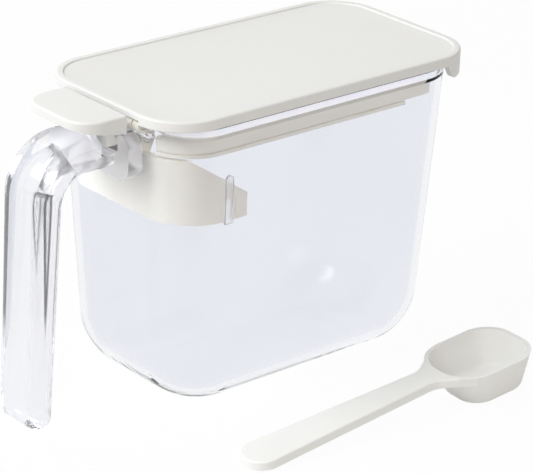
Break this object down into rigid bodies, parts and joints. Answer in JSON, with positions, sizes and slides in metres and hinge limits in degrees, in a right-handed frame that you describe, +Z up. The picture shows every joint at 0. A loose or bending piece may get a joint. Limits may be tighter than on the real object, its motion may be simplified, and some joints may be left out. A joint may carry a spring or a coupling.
{
  "type": "seasoning container",
  "caption": "Clear seasoning container with a side handle, a white lid that a thumb lever flips open, and a loose measuring spoon.",
  "frame": {"origin": "on the table under the middle of the lid, at the height of the container's base", "axes": "+X along the container from the handle to the lid's lifting lip, +Z up"},
  "size_m": [0.1658, 0.1207, 0.105],
  "materials": {
    "clear_resin": "clear polished moulded resin",
    "white_resin": "satin moulded plastic",
    "seal_rubber": "translucent soft silicone",
    "spoon_resin": "satin moulded plastic",
    "pin_resin": "smooth moulded plastic"
  },
  "bodies": {
    "container": {"container_body": "clear_resin", "handle": "clear_resin", "hinge_bracket": "white_resin", "lid_hinge_pins": "pin_resin", "lever_pivot_pins": "pin_resin"},
    "lid": {"lid_cover": "white_resin", "lid_frame": "white_resin", "lid_seal": "seal_rubber"},
    "lever": {"thumb_lever": "white_resin"},
    "spoon": {"measuring_spoon": "spoon_resin"}
  },
  "joints": [
    {"name": "lid_hinge", "type": "hinge", "parent": "container", "child": "lid", "pos_m": [-0.063, 0, 0.1004], "axis": [0, -1, 0], "range_deg": [0, 72]},
    {"name": "lever_pivot", "type": "hinge", "parent": "container", "child": "lever", "pos_m": [-0.058, 0, 0.0943], "axis": [0, -1, 0], "range_deg": [0, 9]},
    {"name": "spoon_lift", "type": "slide", "parent": "container", "child": "spoon", "axis": [0, 0, 1], "range_m": [0, 0.12]}
  ],
  "couplings": [
    {"joint": "lever_pivot", "follows": "lid_hinge", "ratio": 0.125}
  ]
}
